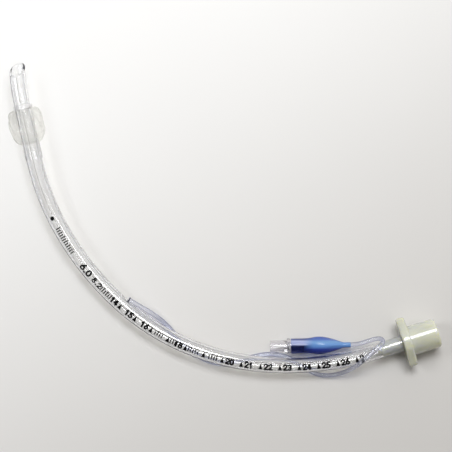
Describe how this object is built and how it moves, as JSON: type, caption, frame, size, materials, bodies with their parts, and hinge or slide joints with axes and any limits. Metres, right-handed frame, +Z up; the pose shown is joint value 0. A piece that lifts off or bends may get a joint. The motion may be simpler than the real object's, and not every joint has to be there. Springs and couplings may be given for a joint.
{
  "type": "endotracheal tube",
  "caption": "Curved clear airway tube with bevelled tip, thin film cuff, cream cone connector, and a thin inflation line ending in a blue pilot balloon with a spring valve.",
  "frame": {"origin": "centre of the bounding box of tube, cuff and connector in plan, on the surface the object lies on", "axes": "+X to the right of the picture, from the cuffed end towards the connector, +Y up the picture towards the tip, +Z up from the surface"},
  "size_m": [0.2252, 0.1648, 0.0172],
  "materials": {
    "clear_tube": "clear soft plastic",
    "cuff_film": "thin clear film",
    "connector_plastic": "translucent cream",
    "line_plastic": "clear with a blue tint",
    "balloon_film": "translucent blue film",
    "valve_plastic": "clear rigid",
    "plunger_plastic": "white",
    "seal_rubber": "dark soft rubber",
    "spring_steel": "spring wire",
    "retainer_plastic": "dark blue"
  },
  "bodies": {
    "airway": {"tube": "clear_tube", "cuff": "cuff_film", "connector": "connector_plastic", "pilot_line": "line_plastic", "pilot_balloon": "balloon_film", "valve_housing": "valve_plastic", "valve_retainer": "retainer_plastic", "valve_spring": "spring_steel"},
    "valve_core": {"valve_plunger": "plunger_plastic", "valve_seal": "seal_rubber"}
  },
  "joints": [
    {"name": "valve_press", "type": "slide", "parent": "airway", "child": "valve_core", "axis": [0.9988, 0.026, 0.0419], "range_m": [0, 0.0012], "stiffness_N_per_m": 250, "springref_m": -0.001, "deforming": ["valve_spring"]}
  ]
}
